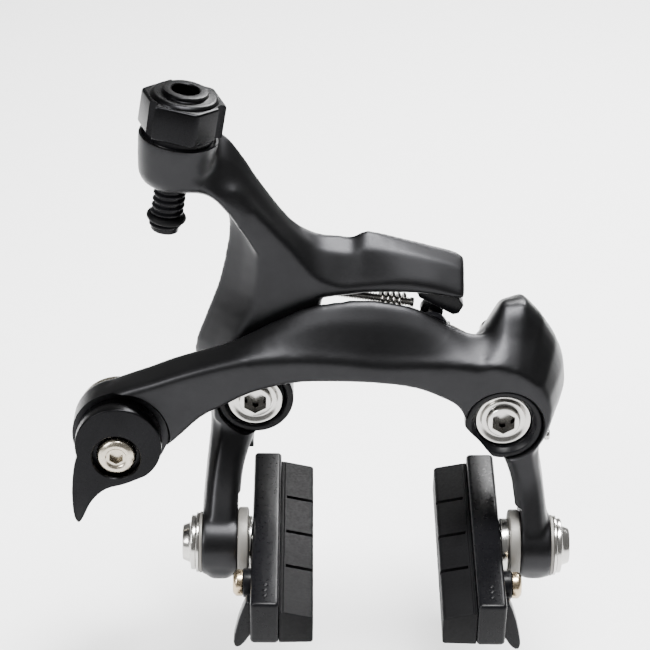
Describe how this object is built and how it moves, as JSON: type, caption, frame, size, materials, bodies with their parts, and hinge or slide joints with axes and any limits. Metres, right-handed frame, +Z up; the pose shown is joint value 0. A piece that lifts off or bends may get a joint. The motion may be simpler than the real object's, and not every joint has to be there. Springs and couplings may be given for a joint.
{
  "type": "bicycle rim brake caliper",
  "caption": "Dual-pivot road bicycle rim brake caliper with two arched arms, cable adjuster, quick-release lever and cartridge shoes; bolts to a fork crown.",
  "frame": {"origin": "midway between the two mounting bolts, on the plane of their seats", "axes": "+X to the right seen from the front, +Y to the rear along the mounting bolts into the fork, +Z up"},
  "size_m": [0.1134, 0.0727, 0.1204],
  "materials": {
    "arm_paint": "satin metallic",
    "black_gloss": "gloss",
    "bright_steel": "polished",
    "dull_steel": "satin",
    "rubber": "matte",
    "brass": "satin"
  },
  "bodies": {
    "base": {"mount_plate": "dull_steel", "mounting_bolt_left": "bright_steel", "mounting_bolt_right": "bright_steel", "pivot_sleeve_left": "dull_steel", "pivot_sleeve_right": "dull_steel", "return_spring_left": "dull_steel", "return_spring_right": "dull_steel"},
    "rear_arm": {"rear_arm": "arm_paint", "rear_arm_bush": "black_gloss", "rear_arm_ring": "black_gloss", "contact_pad": "black_gloss", "centring_screw": "bright_steel", "centring_spring": "bright_steel", "rear_spring_seat": "black_gloss", "adjuster_seat": "black_gloss"},
    "front_arm": {"front_arm": "arm_paint", "front_arm_bush": "black_gloss", "front_arm_ring": "black_gloss", "roller_bracket": "black_gloss", "roller_pin": "bright_steel", "stop_screw": "bright_steel", "front_spring_seat": "black_gloss"},
    "roller": {"contact_roller": "black_gloss"},
    "lever": {"release_lever": "black_gloss"},
    "clamp": {"clamp_screw": "bright_steel", "clamp_plate": "dull_steel", "clamp_nut": "bright_steel"},
    "adjusting_nut": {"adjuster_nut": "black_gloss"},
    "adjusting_bolt": {"adjuster_bolt": "black_gloss", "adjuster_o_ring": "rubber"},
    "left_shoe_stack": {"left_shoe_bolt": "bright_steel", "left_inner_washer": "bright_steel", "left_inner_cup": "dull_steel", "left_outer_washer": "bright_steel", "left_outer_cup": "dull_steel"},
    "left_shoe": {"left_holder": "black_gloss", "left_pad": "rubber", "left_pad_screw": "brass"},
    "right_shoe_stack": {"right_shoe_bolt": "bright_steel", "right_inner_washer": "bright_steel", "right_inner_cup": "dull_steel", "right_outer_washer": "bright_steel", "right_outer_cup": "dull_steel"},
    "right_shoe": {"right_holder": "black_gloss", "right_pad": "rubber", "right_pad_screw": "brass"}
  },
  "joints": [
    {"name": "front_arm_pivot", "type": "hinge", "parent": "base", "child": "front_arm", "pos_m": [0.028, -0.0175, 0], "axis": [0, 1, 0], "range_deg": [-3.5, 7], "stiffness_Nm_per_rad": 3, "deforming": ["return_spring_right"]},
    {"name": "rear_arm_pivot", "type": "hinge", "parent": "base", "child": "rear_arm", "pos_m": [-0.028, -0.0125, 0], "axis": [0, 1, 0], "range_deg": [-7, 3.5], "deforming": ["return_spring_left"]},
    {"name": "roller_spin", "type": "hinge", "parent": "front_arm", "child": "roller", "pos_m": [0.01165, -0.017, 0.02097], "axis": [0, 1, 0], "continuous": true},
    {"name": "release_lever_turn", "type": "hinge", "parent": "front_arm", "child": "lever", "pos_m": [-0.0583, -0.028, -0.0037], "axis": [0, 1, 0], "range_deg": [0, 90]},
    {"name": "clamp_swivel", "type": "hinge", "parent": "lever", "child": "clamp", "pos_m": [-0.0588, -0.028, -0.00651], "axis": [0, 1, 0], "range_deg": [-90, 0]},
    {"name": "adjuster_nut_turn", "type": "hinge", "parent": "rear_arm", "child": "adjusting_nut", "pos_m": [-0.04403, -0.018, 0.06836], "axis": [0.1513, 0, 0.9885], "range_deg": [-732, 732]},
    {"name": "adjuster_bolt_slide", "type": "slide", "parent": "rear_arm", "child": "adjusting_bolt", "axis": [0.1513, 0, 0.9885], "range_m": [-0.003, 0.003]},
    {"name": "left_shoe_height", "type": "slide", "parent": "rear_arm", "child": "left_shoe_stack", "axis": [0, 0, 1], "range_m": [-0.0028, 0.0028]},
    {"name": "left_shoe_tilt", "type": "hinge", "parent": "left_shoe_stack", "child": "left_shoe", "pos_m": [-0.0264, -0.0307, -0.0323], "axis": [1, 0, 0], "range_deg": [-8, 8]},
    {"name": "right_shoe_height", "type": "slide", "parent": "front_arm", "child": "right_shoe_stack", "axis": [0, 0, 1], "range_m": [-0.0028, 0.0028]},
    {"name": "right_shoe_tilt", "type": "hinge", "parent": "right_shoe_stack", "child": "right_shoe", "pos_m": [0.0264, -0.0307, -0.0323], "axis": [1, 0, 0], "range_deg": [-8, 8]}
  ],
  "couplings": [
    {"joint": "rear_arm_pivot", "follows": "front_arm_pivot", "ratio": -1},
    {"joint": "clamp_swivel", "follows": "release_lever_turn", "ratio": -1},
    {"joint": "adjuster_nut_turn", "follows": "adjuster_bolt_slide", "rad_per_m": 4188.8}
  ]
}
